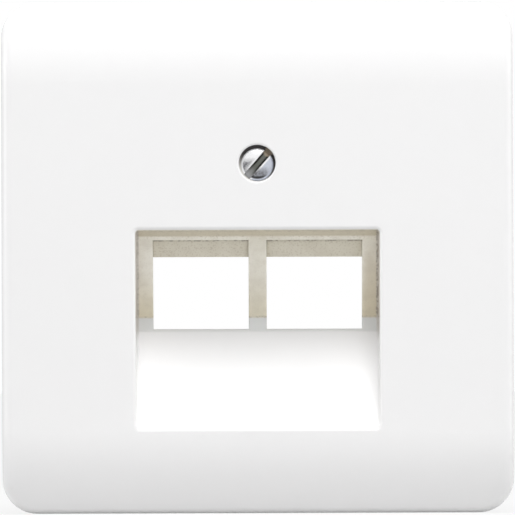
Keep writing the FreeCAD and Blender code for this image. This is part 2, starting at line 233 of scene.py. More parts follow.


# %% [markdown]
# ## The plastic
# The front is polished in the mould, so it is glossy with a very faint waviness. The recess and the back
# come from sparked steel, which leaves a fine matt grain. The wall with the ports is painted cream as warm
# light through its thin plastic, and painted darker towards its foot and to the right as shade. Its corners
# and its seams are darkened with dust and dots of dirt together with painted shade. All this is one
# material on one moulding. A painted image would need a map of the whole surface, so the places come from
# a point's height, depth and side, and each stretch below is given once, in millimetres.

# %% Places in the plastic
# Heights count up from the middle of the plate, depths back from its front face, sides out from its
# middle line. Each pair is the stretch over which one finish passes into the next.
RECESS_FRONT = (0.2, 0.6)
RECESS_SIDE = (17.5, 17.8)
RECESS_TOP = (4.1, 4.6)
RECESS_FOOT = (-24.2, -24.0)
ABOVE_LIP_FOOT = (3.0, 3.3)
BEHIND_LIP = (3.0, 3.6)
WALL_FOOT = (-8.5, -8.2)
BACK_FACING = (0.1, 0.3)


class Plastic(Finish):
    """The plastic under construction, with the masks that tell front, recess and back apart."""

    def __init__(self, name):
        super().__init__(name)
        self.side, self.height = self.along("X"), self.along("Z")
        self.aside = self.math("ABSOLUTE", self.side)
        self.depth = self.math("SUBTRACT", self.along("Y"), front_y)
        self.facing_back = self.ramp(self.normal("Y"), *BACK_FACING)
        self.in_recess = self.all_of(
            self.outside(self.facing_back), self.over(self.depth, RECESS_FRONT),
            self.under(self.aside, RECESS_SIDE), self.under(self.height, RECESS_TOP),
            self.over(self.height, RECESS_FOOT))
        behind_lip = self.all_of(self.over(self.height, ABOVE_LIP_FOOT),
                                 self.over(self.depth, BEHIND_LIP))
        self.on_wall = self.all_of(self.in_recess, self.over(self.height, WALL_FOOT),
                                   self.outside(behind_lip))


# %% [markdown]
# ### The wall's painted light and shade
# The port wall leans back from the lip's foot to the sill. How far a point lies behind that slope tells a
# post from a bay, which is set back. The cream is painted warm light. The wall is painted darker towards
# its foot and on the right post as shade. The bays, the posts just under the lip and the middle post are
# painted darker than the side posts as shade, the lip's underside is painted tan as its shade, and fine
# dark specks of dirt lie in the bays and on the lip.

# %% Cream of the port wall
# The wall's cream is painted warm light; the darker colours after it are painted shade.
WALL_WARM_LIGHT_CREAM = (0.90, 0.87, 0.785, 1.0)
LOW_WALL_PAINTED_SHADE = (0.77, 0.705, 0.54, 1.0)
RIGHT_POST_PAINTED_SHADE = (0.68, 0.60, 0.44, 1.0)
CREAM_PAINTED_SHADE = (0.69, 0.65, 0.545, 1.0)
CREAM_SPECK = (0.50, 0.44, 0.34, 1.0)
LIP_PAINTED_SHADE = (0.62, 0.565, 0.44, 1.0)

# The slope of the posts, from the lip's foot to the sill: height and depth of both its ends.
SLOPE_TOP, SLOPE_FOOT = (3.11, 2.3), (-8.35, 8.3)
SLOPE = (SLOPE_FOOT[1] - SLOPE_TOP[1]) / (SLOPE_TOP[0] - SLOPE_FOOT[0])
SLOPE_DEPTH_AT_MIDDLE = SLOPE_TOP[1] + SLOPE_TOP[0] * SLOPE

# Where the painted shade falls: the wall's foot, the right post, near the lip and on the middle post.
LOW_WALL = (-9.0, -1.0)
RIGHT_POST, RIGHT_POST_TOP = (14.0, 15.5), (-3.0, 3.0)
RIGHT_SHADE_STRENGTH, RIGHT_SHADE_AT_TOP = 0.6, 0.3
BAY_SET_BACK = (0.25, 0.8)
NEAR_LIP, NEAR_LIP_SHADOW = (-0.2, 2.4), 0.25
MIDDLE_POST, MIDDLE_POST_SHADE = (0.9, 1.4), 0.42
LIP_FROM, SPECKS_FROM = (2.80, 3.15), (2.2, 3.2)
SPECK_SIZE, SPECK_CUT, SPECKS_ON_POSTS, SPECKS_IN_BAYS = 0.22, (0.54, 0.68), 0.1, 0.5
BLOTCH_SIZE, BLOTCH_CUT, BLOTCH_STRENGTH = 1.6, (0.35, 0.7), 0.2


# Painted warm light and painted shade on the port wall, with specks of dirt.
def wall_painted_light_and_specks(finish, in_bay):
    # Painted shade: darker towards the wall's foot and on the right post.
    shaded_foot = finish.under(finish.height, LOW_WALL)
    right_post_shade = finish.all_of(finish.over(finish.side, RIGHT_POST, RIGHT_SHADE_STRENGTH),
                               finish.under(finish.height, RIGHT_POST_TOP, 1.0, RIGHT_SHADE_AT_TOP))
    # Painted shadow under the lip, and painted shade on the middle post and in the bays.
    near_lip_and_middle_shade = finish.math("ADD", finish.over(finish.height, NEAR_LIP, NEAR_LIP_SHADOW),
                         finish.under(finish.aside, MIDDLE_POST, MIDDLE_POST_SHADE))
    cream = finish.blend(right_post_shade, finish.blend(shaded_foot, WALL_WARM_LIGHT_CREAM, LOW_WALL_PAINTED_SHADE), RIGHT_POST_PAINTED_SHADE)
    cream = finish.blend(finish.highest(in_bay, near_lip_and_middle_shade), cream, CREAM_PAINTED_SHADE)
    # The lip's underside is painted tan as its shade.
    cream = finish.blend(finish.over(finish.height, LIP_FROM), cream, LIP_PAINTED_SHADE)
    specks = finish.ramp(finish.noise(SPECK_SIZE, detail=1.0), *SPECK_CUT)
    speckled = finish.ramp(finish.highest(in_bay, finish.over(finish.height, SPECKS_FROM)),
                           0.0, 1.0, SPECKS_ON_POSTS, SPECKS_IN_BAYS)
    blotches = finish.ramp(finish.noise(BLOTCH_SIZE, detail=3.0), *BLOTCH_CUT, 0.0, BLOTCH_STRENGTH)
    spotted = finish.math("MULTIPLY_ADD", specks, speckled, blotches, clamp=True)
    return finish.blend(spotted, cream, CREAM_SPECK)


def bay_mask(finish):
    """1 in the bays, which lie behind the slope of the posts."""
    behind_posts = finish.math("ADD", finish.math("MULTIPLY_ADD", finish.height, SLOPE, finish.depth),
                               -SLOPE_DEPTH_AT_MIDDLE * MM)
    return finish.over(behind_posts, BAY_SET_BACK)


print("the posts lean back by", round(math.degrees(math.atan(SLOPE)), 1), "degrees")

# %% [markdown]
# ### Painted shade, dust and dirt
# Where two faces meet, ambient occlusion finds the corner, and it is darkened: dust together with painted
# shade. The side walls of the recess are painted in shade. Along four seams the darkening is dark dots of
# dirt and painted shade: the top of the bays, the foot of the posts, the sides of the recess and the edge
# of the lip. A noise breaks each seam up into dots.

# %% Dirt in the recess
# Painted shade on the side walls, dust with painted shade in the creases, dirt with painted shade on the
# seams.
SIDE_SHADE = (0.55, 0.51, 0.47, 1.0)
CREASE_DUST_AND_SHADE = (0.30, 0.27, 0.22, 1.0)
SEAM_DIRT_AND_SHADE = (0.22, 0.185, 0.14, 1.0)
SIDE_WALL, SIDE_WALL_FOOT, SIDE_STRENGTH = (16.45, 16.7), (-12.0, -9.0), 0.85
CREASE_REACH, CREASE_CUT, CREASE_STRENGTH = 0.5, (0.3, 0.6), 0.6
BAY_TOP_SEAM = (2.15, 2.4)
POST_FOOT_SEAM, POST_FOOT_STRENGTH = (-8.25, -8.0), 0.7
SIDE_SEAM_START, SIDE_SEAM_END = (16.4, 16.6), (16.75, 16.9)
MIDDLE_LINE, LEFT_SEAM_STRENGTH = (-1.0, 1.0), 0.5
LIP_SEAM, LIP_SEAM_STRENGTH = (3.5, 3.7), 0.35
DOT_SIZE, DOT_CUT, BETWEEN_DOTS, DOT_STRENGTH = 0.5, (0.44, 0.6), 0.15, 0.75


def with_shade_and_dirt(finish, clean, in_bay):
    at_side = finish.all_of(finish.in_recess, finish.over(finish.aside, SIDE_WALL),
                            finish.over(finish.height, SIDE_WALL_FOOT, SIDE_STRENGTH))
    # Crease darkening: dust together with painted shade.
    crease_shade = finish.ramp(finish.crease(CREASE_REACH), *CREASE_CUT, 0.0, CREASE_STRENGTH)
    shaded_and_dusty = finish.blend(at_side, clean, SIDE_SHADE)
    shaded_and_dusty = finish.blend(finish.all_of(finish.in_recess, crease_shade), shaded_and_dusty, CREASE_DUST_AND_SHADE)
    # Seam dots: dirt together with painted shade in the seams.
    side_seam = finish.all_of(finish.over(finish.aside, SIDE_SEAM_START),
                              finish.under(finish.aside, SIDE_SEAM_END),
                              finish.over(finish.side, MIDDLE_LINE, 1.0, LEFT_SEAM_STRENGTH))
    seams = finish.highest(finish.all_of(in_bay, finish.over(finish.height, BAY_TOP_SEAM)),
                           finish.under(finish.height, POST_FOOT_SEAM, POST_FOOT_STRENGTH),
                           side_seam, finish.over(finish.height, LIP_SEAM, LIP_SEAM_STRENGTH))
    dots = finish.ramp(finish.noise(DOT_SIZE), *DOT_CUT, BETWEEN_DOTS, DOT_STRENGTH)
    return finish.blend(finish.all_of(finish.on_wall, seams, dots), shaded_and_dusty, SEAM_DIRT_AND_SHADE)


# %% [markdown]
# ### The bore round the screw head
# The gap round the head is deep and narrow. Its upper part is painted black as its shadow, and its lower
# part is painted lighter as lit. Its lower left is given an emission, a painted glow for light that shines
# through the thin wall, and a warm patch of painted light lies where the open end of the slot meets the
# bore. The mouth of the bore stays white, because the head mirrors it.

# %% Grime in the bore
# Painted shadow in the bore's upper part.
BORE_PAINTED_SHADOW = (0.05, 0.036, 0.036, 1.0)
# Painted light: the lit lower bore, its emitted glow and the warm patch at the slot's end.
BORE_PAINTED_LIGHT = (0.72, 0.71, 0.68, 1.0)
BORE_WARM_PAINTED_LIGHT = (0.62, 0.50, 0.36, 1.0)
BORE_HEIGHT = 13.1
BORE_EDGE, BORE_FRONT, BORE_REAR = (2.62, 2.75), (0.7, 1.1), (3.0, 4.0)
SHADOW_FROM, SHADOW_LEAN = (-2.0, 1.3), 0.25
WARM_SIDE, WARM_UP, WARM_EDGE = 1.75, 1.95, (0.45, 0.8)
GLOW_SIDE, GLOW_UP, GLOW_STRETCH, GLOW_STRENGTH = -0.5, -0.87, (-11.6, -9.0), 0.4


def bore_mask(finish):
    return finish.all_of(finish.under(finish.from_line(screw_axis.x, BORE_HEIGHT * MM), BORE_EDGE),
                         finish.over(finish.depth, BORE_FRONT), finish.under(finish.depth, BORE_REAR))


def bore_shadow_and_light(finish):
    # Painted shadow above a leaning line, painted light below it.
    leaning = finish.math("MULTIPLY_ADD", finish.side, SHADOW_LEAN, finish.height)
    shadowed_top = finish.over(leaning, [BORE_HEIGHT + limit for limit in SHADOW_FROM])
    # A warm patch of painted light at the slot's open end.
    from_slot_end = finish.from_line(screw_axis.x + WARM_SIDE * MM, screw_axis.z + WARM_UP * MM)
    shadowed_wall = finish.blend(shadowed_top, BORE_PAINTED_LIGHT, BORE_PAINTED_SHADOW)
    return finish.blend(finish.under(from_slot_end, WARM_EDGE), shadowed_wall, BORE_WARM_PAINTED_LIGHT)


def bore_painted_glow(finish, in_bore):
    """Strength of the painted glow, an emission for the light that comes through the wall, at the lower
    left of the bore.
    """
    towards = finish.math("MULTIPLY_ADD", finish.side, GLOW_SIDE,
                          finish.math("MULTIPLY", finish.height, GLOW_UP))
    return finish.all_of(in_bore, finish.over(towards, GLOW_STRETCH, GLOW_STRENGTH))


# %% [markdown]
# ### All of it together
# The white has a very faint mottle, and the sill is painted a little greyer than the front as shade under
# the lip. The roughness doubles from the polished front to the sparked recess and back. The grain and the
# waves are too small for a mesh, so they are bump, one on top of the other.

# %% White moulded plastic
FRONT_WHITE = (0.86, 0.855, 0.852, 1.0)
FRONT_MOTTLE = (0.845, 0.84, 0.845, 1.0)
SILL_PAINTED_SHADE = (0.74, 0.745, 0.73, 1.0)
SILL_FOOT, SILL_DEPTH = (-10.5, -10.1), (7.8, 8.1)
MOTTLE_SIZE, MOTTLE_STRENGTH = 9.0, 0.5
GRAIN_SIZE, GRAIN_HEIGHT, GRAIN_STRENGTH = 0.12, 0.02, 0.25
WAVE_SIZE, WAVE_HEIGHT, WAVE_STRENGTH = 3.5, 0.01, 0.4
POLISHED, SPARKED = 0.24, 0.5
PLASTIC_IOR = 1.5


def white_plastic():
    finish = Plastic("gloss_white_plastic")
    mottle = finish.math("MULTIPLY", finish.noise(MOTTLE_SIZE, detail=3.0), MOTTLE_STRENGTH)
    white = finish.blend(mottle, FRONT_WHITE, FRONT_MOTTLE)
    # Painted shade on the sill.
    on_sill = finish.all_of(finish.in_recess, finish.over(finish.height, SILL_FOOT),
                            finish.over(finish.depth, SILL_DEPTH))
    white = finish.blend(on_sill, white, SILL_PAINTED_SHADE)
    in_bay, in_bore = bay_mask(finish), bore_mask(finish)
    clean = finish.blend(finish.on_wall, white, wall_painted_light_and_specks(finish, in_bay))
    colour = finish.blend(in_bore, with_shade_and_dirt(finish, clean, in_bay), bore_shadow_and_light(finish))
    grain = finish.bump(finish.noise(GRAIN_SIZE), GRAIN_HEIGHT, GRAIN_STRENGTH)
    waves = finish.bump(finish.noise(WAVE_SIZE, detail=1.0), WAVE_HEIGHT, WAVE_STRENGTH, under=grain)
    matt = finish.highest(finish.in_recess, finish.facing_back)
    # The emission is a painted glow in the bore.
    return finish.set(Base_Color=colour, Roughness=finish.ramp(matt, 0.0, 1.0, POLISHED, SPARKED),
                      IOR=PLASTIC_IOR, Normal=waves, Emission_Color=BORE_PAINTED_LIGHT,
                      Emission_Strength=bore_painted_glow(finish, in_bore))


plastic = white_plastic()
paint(frame["nodes"]["faceplate"].data, plastic)
print("plastic on faceplate,", len(plastic.node_tree.nodes), "nodes")

# %% [markdown]
# ## The screw
# A small slotted cheese-head screw: turned from steel wire, its thread rolled, its slot sawn, then plated.
# The head is low and domed, and it is captive, so a thinner waist runs between head and thread. The head's
# width and the screw's length come from the frame. The other sizes are in millimetres.

# %% Sizes of the screw
HEAD_HEIGHT = 2.2
HEAD_DOME = 0.6
HEAD_RIM_ROUND = 0.25
HEAD_UNDERCUT = 0.05
WAIST_RADIUS = 1.15
WAIST_LENGTH = 7.65
THREAD_RADIUS = 1.5
THREAD_CORE = 1.19
THREAD_PITCH = 0.5
THREAD_ROWS = 180
TIP_CHAMFER = 0.5
SLOT_WIDTH = 1.0
SLOT_DEPTH = 1.2
SLOT_ANGLE = math.radians(49.0)
SLOT_BURR = 0.09
SEGMENTS = 96
head_radius_mm = head_radius / MM
dome_radius = (head_radius_mm ** 2 + HEAD_DOME ** 2) / (2 * HEAD_DOME)
screw_length = (screw_high.y - screw_axis.y) / MM
print("screw head", round(2 * head_radius_mm, 2), "mm wide, shaft", round(screw_length, 2), "mm long")

# %% [markdown]
# ### The plating
# Bright plating on turned steel. Fine rings run round the axis from the lathe. On the left of the slot and
# below it the plating is darkened in blotches: worn plating together with a painted dark reflection. The
# lower half is painted cool as a reflection, and a painted dark reflection lies as a band inside the lower
# rim, whose edge stays bright. The sawn slot is rough and dark, partly as painted shade, with painted shade
# in its corners, painted light at its lower end and painted warm light at its upper end. The roots of the
# thread are painted dark as shade. Places are read from the axis, along the slot and across it, in the
# screw's own coordinates, so all of it turns with the screw.

# %% Colours and places of the plating
STEEL_BRIGHT = (0.88, 0.88, 0.89, 1.0)
# Painted reflection: the cool lower half of the head.
STEEL_COOL_REFLECTION = (0.58, 0.61, 0.68, 1.0)
# Worn plating together with a painted dark reflection.
STEEL_WORN_DARK_REFLECTION = (0.17, 0.17, 0.18, 1.0)
# The slot: sawn steel partly painted in shade, painted light at its lower end, painted warm light at its
# upper end.
STEEL_SLOT_SAWN_AND_SHADED = (0.20, 0.205, 0.185, 1.0)
STEEL_SLOT_END_PAINTED_LIGHT = (0.60, 0.60, 0.61, 1.0)
SLOT_END_PAINTED_WARM_LIGHT = (0.42, 0.36, 0.28, 1.0)
STEEL_SHAFT = (0.40, 0.40, 0.41, 1.0)
# Painted shade and painted dark reflection: the band in the lower rim, the thread's roots, the slot's
# corners.
STEEL_DARK = (0.02, 0.02, 0.018, 1.0)

# Stretches in millimetres, as for the plastic: below the dome and out from the slot's middle for the sawn
# faces, then up, to the right of, across and along the slot from the screw's axis.
SAWN_FROM, SAWN_SIDE = (0.1, 0.2), (0.52, 0.56)
SLOT_FLOOR = (SLOT_DEPTH + 0.1, SLOT_DEPTH + 0.2)
# Where the worn blotches and the painted dark reflection lie.
LOW_DARK_REFLECTION, LOW_DARK_REFLECTION_SIDE, LOW_DARK_REFLECTION_RIGHT = (-1.2, -0.1), (1.1, 1.6), 0.4
LEFT_WEAR_AND_REFLECTION, LEFT_WEAR_AND_REFLECTION_TOP = (0.55, 1.0), (0.1, 1.1)
WEAR_SIZE, WEAR_CUT, WEAR_LEAST = 0.45, (0.36, 0.62), 0.6
COOL_REFLECTION_HALF = (-0.85, -0.65)
# Shares of the head's radius at which the bright rim starts and the painted dark reflection band starts and
# ends.
RIM, DARK_BAND_START, DARK_BAND_END = (0.84, 0.92), (0.66, 0.78), (0.84, 0.90)
DARK_BAND_TOP, DARK_BAND_STRENGTH = (-1.7, -1.3), 0.8
SHAFT_FROM = (HEAD_HEIGHT - 0.1, HEAD_HEIGHT + 0.1)
ROOT_REACH, ROOT_CUT, ROOT_STRENGTH = 0.25, (0.15, 0.5), 0.8
LIT_SLOT_END, WARM_LIT_SLOT_END = (-2.1, -0.3), (1.5, 1.8)
CORNER_REACH, CORNER_CUT, CORNER_STRENGTH = 0.5, (0.12, 0.3), 0.97
CORNER_FADE, CORNER_FADED, CORNER_END = (-1.9, 0.3), 0.1, (1.7, 1.95)
RINGS_PER_METRE, RING_HEIGHT, RING_STRENGTH = 9000.0, 0.004, 0.5
SCRATCH_SIZE, SCRATCH_STRETCH, SCRATCH_HEIGHT, SCRATCH_STRENGTH = 0.2, (1, 1, 0.12), 0.004, 0.35
PLATED_ROUGHNESS, SHAFT_ROUGHNESS = 0.2, 0.35
WEAR_ROUGHNESS, SAWN_ROUGHNESS, RIM_ROUGHNESS = 0.25, 0.3, 0.35


# %% [markdown]
# The wear and painted reflections of the head, and the colours, painted shade and painted light of the
# slot, are short lists of masks. All read the same places, so `Plating` works them out once.

# %% Plated steel
class Plating(Finish):
    """The plating under construction, with the places that its wear and painted reflections are drawn by.
    """

    def __init__(self, name):
        super().__init__(name)
        self.side = self.math("SUBTRACT", self.along("X"), screw_axis.x)
        self.up = self.math("SUBTRACT", self.along("Z"), screw_axis.z)
        self.depth = self.math("SUBTRACT", self.along("Y"), screw_axis.y - HEAD_HEIGHT * MM)
        self.out = self.from_line(screw_axis.x, screw_axis.z)
        self.out_share = self.math("DIVIDE", self.out, head_radius)
        self.along_slot = self.math("ADD", self.math("MULTIPLY", self.side, math.cos(SLOT_ANGLE)),
                                    self.math("MULTIPLY", self.up, math.sin(SLOT_ANGLE)))
        self.across = self.math("SUBTRACT", self.math("MULTIPLY", self.up, math.cos(SLOT_ANGLE)),
                                self.math("MULTIPLY", self.side, math.sin(SLOT_ANGLE)))
        below_dome = self.math("MULTIPLY_ADD", self.math("MULTIPLY", self.out, self.out),
                               -1 / (2 * dome_radius * MM), self.depth)
        self.on_head = self.under(self.depth, SLOT_FLOOR)
        self.on_rim = self.ramp(self.out_share, *RIM)
        self.on_shaft = self.over(self.depth, SHAFT_FROM)
        self.sawn = self.all_of(self.over(below_dome, SAWN_FROM), self.on_head,
                                self.under(self.math("ABSOLUTE", self.across), SAWN_SIDE))


def wear_and_dark_reflection_mask(finish):
    """Blotches of worn plating with a painted dark reflection: below, and on the left of the slot, but not
    on the rim.
    """
    low = finish.all_of(finish.under(finish.up, LOW_DARK_REFLECTION),
                        finish.under(finish.side, LOW_DARK_REFLECTION_SIDE, 1.0, LOW_DARK_REFLECTION_RIGHT))
    left = finish.all_of(finish.over(finish.across, LEFT_WEAR_AND_REFLECTION), finish.under(finish.up, LEFT_WEAR_AND_REFLECTION_TOP))
    blotches = finish.ramp(finish.noise(WEAR_SIZE, detail=4.0, rough=0.65), *WEAR_CUT, WEAR_LEAST, 1.0)
    return finish.all_of(blotches, finish.math("ADD", low, left, clamp=True),
                         finish.outside(finish.on_rim))


def head_and_shaft_colour(finish, wear_and_dark_reflection):
    # Painted reflection: a cool lower half.
    cool_reflection = finish.under(finish.across, COOL_REFLECTION_HALF)
    colour = finish.blend(wear_and_dark_reflection, finish.blend(cool_reflection, STEEL_BRIGHT, STEEL_COOL_REFLECTION), STEEL_WORN_DARK_REFLECTION)
    # Painted dark reflection in a band inside the lower rim.
    dark_rim_reflection = finish.all_of(finish.ramp(finish.out_share, *DARK_BAND_START),
                          finish.under(finish.up, DARK_BAND_TOP, DARK_BAND_STRENGTH),
                          finish.outside(finish.ramp(finish.out_share, *DARK_BAND_END)))
    colour = finish.blend(dark_rim_reflection, colour, STEEL_DARK)
    # Painted shade in the roots of the thread.
    root_shade = finish.ramp(finish.crease(ROOT_REACH), *ROOT_CUT, 0.0, ROOT_STRENGTH)
    colour = finish.blend(finish.on_shaft, colour, STEEL_SHAFT)
    return finish.blend(finish.all_of(finish.on_shaft, root_shade), colour, STEEL_DARK)


def slot_shade_and_light(finish):
    # Painted light at the slot's lower end, painted warm light at its upper end.
    lit_end = finish.under(finish.along_slot, LIT_SLOT_END)
    warm_lit_end = finish.over(finish.along_slot, WARM_LIT_SLOT_END)
    return finish.blend(warm_lit_end, finish.blend(lit_end, STEEL_SLOT_SAWN_AND_SHADED, STEEL_SLOT_END_PAINTED_LIGHT), SLOT_END_PAINTED_WARM_LIGHT)


def slot_corner_shade(finish):
    """1 in the corners of the slot, painted black as shade, fading towards both of its ends."""
    # Painted shade in the slot's corners.
    corner_shade = finish.ramp(finish.crease(CORNER_REACH), *CORNER_CUT, 0.0, CORNER_STRENGTH)
    return finish.all_of(finish.sawn, corner_shade,
                         finish.over(finish.along_slot, CORNER_FADE, 1.0, CORNER_FADED),
                         finish.under(finish.along_slot, CORNER_END))


def plated_steel():
    finish = Plating("plated_steel")
    wear_and_dark_reflection = wear_and_dark_reflection_mask(finish)
    colour = finish.blend(finish.sawn, head_and_shaft_colour(finish, wear_and_dark_reflection), slot_shade_and_light(finish))
    colour = finish.blend(slot_corner_shade(finish), colour, STEEL_DARK)
    roughness = finish.ramp(finish.on_shaft, 0.0, 1.0, PLATED_ROUGHNESS, SHAFT_ROUGHNESS)
    for mask, extra in ((wear_and_dark_reflection, WEAR_ROUGHNESS), (finish.sawn, SAWN_ROUGHNESS),
                        (finish.all_of(finish.on_rim, finish.on_head), RIM_ROUGHNESS)):
        roughness = finish.math("MULTIPLY_ADD", mask, extra, roughness)
    rings = finish.node("ShaderNodeTexNoise", {"noise_dimensions": "1D"},
                        W=finish.math("MULTIPLY", finish.out, RINGS_PER_METRE)).outputs["Fac"]
    scratches = finish.bump(finish.noise(SCRATCH_SIZE, stretch=SCRATCH_STRETCH), SCRATCH_HEIGHT,
                            SCRATCH_STRENGTH)
    return finish.set(Base_Color=colour, Metallic=1.0, Roughness=roughness,
                      Normal=finish.bump(rings, RING_HEIGHT, RING_STRENGTH, under=scratches))


steel = plated_steel()
print("plated steel,", len(steel.node_tree.nodes), "nodes")

# %% [markdown]
# ### The thread
# A thread is a rule, so Geometry Nodes make it: a flat grid is rolled into a tube, and the radius of each
# point follows a ridge that climbs one pitch for every turn. Both ends run out on short cones, as a rolled
# thread does. The tree has named inputs, so another screw would only need other numbers.

# %% Thread tree
TREE_SIZES = ("Length", "Pitch", "Core Radius", "Outer Radius", "Start Radius", "Tip Chamfer")
TREE_COUNTS = ("Rows", "Segments")
# The ridge is a triangle over half a pitch. These shares of a pitch cut its root and its crest flat.
RIDGE_ROOT, RIDGE_CREST = 0.11, 0.43
# Points closer than this, in mm, are one point.
SAME_POINT = 0.001


def thread_tree():
    tree = bpy.data.node_groups.new("rolled_thread", "GeometryNodeTree")
    net = Network(tree)
    tree.interface.new_socket("Geometry", in_out="OUTPUT", socket_type="NodeSocketGeometry")
    for name in TREE_SIZES:
        tree.interface.new_socket(name, in_out="INPUT", socket_type="NodeSocketFloat")
    for name in TREE_COUNTS:
        tree.interface.new_socket(name, in_out="INPUT", socket_type="NodeSocketInt")
    tree.interface.new_socket("Material", in_out="INPUT", socket_type="NodeSocketMaterial")
    given = net.node("NodeGroupInput").outputs
    grid = net.node("GeometryNodeMeshGrid", Size_X=1.0, Size_Y=1.0, Vertices_X=given["Segments"],
                    Vertices_Y=given["Rows"]).outputs["Mesh"]
    position = net.node("GeometryNodeInputPosition").outputs[0]
    flat = net.node("ShaderNodeSeparateXYZ", Vector=position).outputs
    # the grid runs from -0.5 to 0.5 both ways: one way is the turn, the other the way along the screw
    turn = net.math("ADD", flat["X"], 0.5)
    along = net.math("MULTIPLY", net.math("ADD", flat["Y"], 0.5), given["Length"])
    phase = net.math("FRACT", net.math("SUBTRACT", net.math("DIVIDE", along, given["Pitch"]), turn))
    ridge = net.node("ShaderNodeMapRange", Value=net.math("PINGPONG", phase, 0.5),
                     From_Min=RIDGE_ROOT, From_Max=RIDGE_CREST).outputs["Result"]
    depth = net.math("SUBTRACT", given["Outer Radius"], given["Core Radius"])
    radius = net.math("MULTIPLY_ADD", ridge, depth, given["Core Radius"])
    run_in = net.math("ADD", given["Start Radius"], along)
    to_tip = net.math("SUBTRACT", given["Length"], along)
    run_out = net.math("ADD", net.math("SUBTRACT", given["Outer Radius"], given["Tip Chamfer"]), to_tip)
    radius = net.math("MINIMUM", radius, net.math("MINIMUM", run_in, run_out))
    angle = net.math("MULTIPLY", turn, math.tau)
    place = net.node("ShaderNodeCombineXYZ", X=net.math("MULTIPLY", radius, net.math("SINE", angle)),
                     Y=along, Z=net.math("MULTIPLY", radius, net.math("COSINE", angle))).outputs[0]
    rolled = net.node("GeometryNodeSetPosition", Geometry=grid, Position=place).outputs[0]
    closed = net.node("GeometryNodeMergeByDistance", Geometry=rolled, Distance=SAME_POINT).outputs[0]
    real = net.node("GeometryNodeRealizeInstances", Geometry=closed).outputs[0]
    finished = net.node("GeometryNodeSetMaterial", Geometry=real, Material=given["Material"]).outputs[0]
    net.node("NodeGroupOutput", Geometry=finished)
    return tree


def run_tree(tree, **inputs):
    """Evaluate a Geometry Nodes tree with these inputs and return the plain mesh that it makes."""
    holder = bpy.data.objects.new("tree_run", bpy.data.meshes.new("tree_run"))
    bpy.context.scene.collection.objects.link(holder)
    modifier = holder.modifiers.new("tree", "NODES")
    modifier.node_group = tree
    for item in tree.interface.items_tree:
        if item.in_out == "INPUT":
            modifier[item.identifier] = inputs[item.name.replace(" ", "_")]
    mesh = bpy.data.meshes.new_from_object(holder.evaluated_get(bpy.context.evaluated_depsgraph_get()))
    bpy.data.objects.remove(holder)
    return mesh


# %% [markdown]
# ### Head and waist
# The head and the waist are turned shapes: a half outline, spun about the axis. The outline ends in the
# same ring of points with which the thread starts, so the two close into one skin.

# %% Turned outline
DOME_STEPS, RIM_STEPS = 18, 5


def arc_points(centre, radius, start, end, steps):
    """Points (along, out) on an arc; angles in radians from the -along direction."""
    angles = [start + (end - start) * step / steps for step in range(steps + 1)]
    return [(centre[0] - radius * math.cos(angle), centre[1] + radius * math.sin(angle))
            for angle in angles]


def head_outline():
    """Half outline (along the axis from the seat, out from it) from the dome's top to the waist's end."""
    dome_centre = (dome_radius - HEAD_HEIGHT, 0.0)
    rim_out = head_radius_mm - HEAD_RIM_ROUND
    rim_reach = dome_radius - HEAD_RIM_ROUND
    lean = math.asin(rim_out / rim_reach)
    rim_centre = (dome_centre[0] - rim_reach * math.cos(lean), rim_out)
    dome = arc_points(dome_centre, dome_radius, 0.0, lean, DOME_STEPS)
    rim = arc_points(rim_centre, HEAD_RIM_ROUND, lean, math.radians(90), RIM_STEPS)
    underside = [(-HEAD_UNDERCUT, head_radius_mm), (0.0, head_radius_mm - HEAD_UNDERCUT)]
    return dome + rim[1:] + underside + [(0.0, WAIST_RADIUS), (WAIST_LENGTH, WAIST_RADIUS)]


def ring(work, along, out):
    """One ring of points about the +Y axis, starting at +Z as the thread's grid does."""
    angles = [math.tau * step / SEGMENTS for step in range(SEGMENTS)]
    return [work.verts.new((out * math.sin(angle), along, out * math.cos(angle))) for angle in angles]


def spin_outline(work, outline):
    """Spin an outline that starts on the axis into a skin, closed by a fan at its first point."""
    rings = [ring(work, along, out) for along, out in outline if out > 0]
    for first, second in zip(rings, rings[1:]):
        for step in range(SEGMENTS):
            following = (step + 1) % SEGMENTS
            work.faces.new((first[step], first[following], second[following], second[step]))
    pole = work.verts.new((0.0, outline[0][0], 0.0))
    for step in range(SEGMENTS):
        work.faces.new((pole, rings[0][(step + 1) % SEGMENTS], rings[0][step]))


# %% Screw blank with its thread
# Both in mm: edges this close to the tip are the thread's open end, and points closer than a weld are one.
TIP_REACH = 0.01
WELD = 0.002


def screw_blank():
    work = bmesh.new()
    work.from_mesh(run_tree(
        thread_tree(), Length=screw_length - WAIST_LENGTH, Pitch=THREAD_PITCH, Core_Radius=THREAD_CORE,
        Outer_Radius=THREAD_RADIUS, Start_Radius=WAIST_RADIUS, Tip_Chamfer=TIP_CHAMFER,
        Rows=THREAD_ROWS, Segments=SEGMENTS + 1, Material=steel))
    bmesh.ops.translate(work, verts=work.verts, vec=(0, WAIST_LENGTH, 0))
    tip = [edge for edge in work.edges
           if edge.is_boundary and min(vert.co.y for vert in edge.verts) > screw_length - TIP_REACH]
    bmesh.ops.holes_fill(work, edges=tip)
    spin_outline(work, head_outline())
    bmesh.ops.remove_doubles(work, verts=work.verts, dist=WELD)
    bmesh.ops.recalc_face_normals(work, faces=work.faces)
    return work


def to_object(work, name):
    """A new object at the origin with the mesh that was worked on."""
    mesh = bpy.data.meshes.new(name)
    work.to_mesh(mesh)
    work.free()
    made = bpy.data.objects.new(name, mesh)
    bpy.context.scene.collection.objects.link(made)
    return made


blank = to_object(screw_blank(), "turned_screw")
print("screw blank,", len(blank.data.polygons), "faces")


# %% [markdown]
# ### The slot
# The slot is sawn with a blade, which a Boolean copies exactly, so its walls are flat and its edges sharp.
# A second, very shallow cut follows the dome and leaves the small bevel that catches the light.

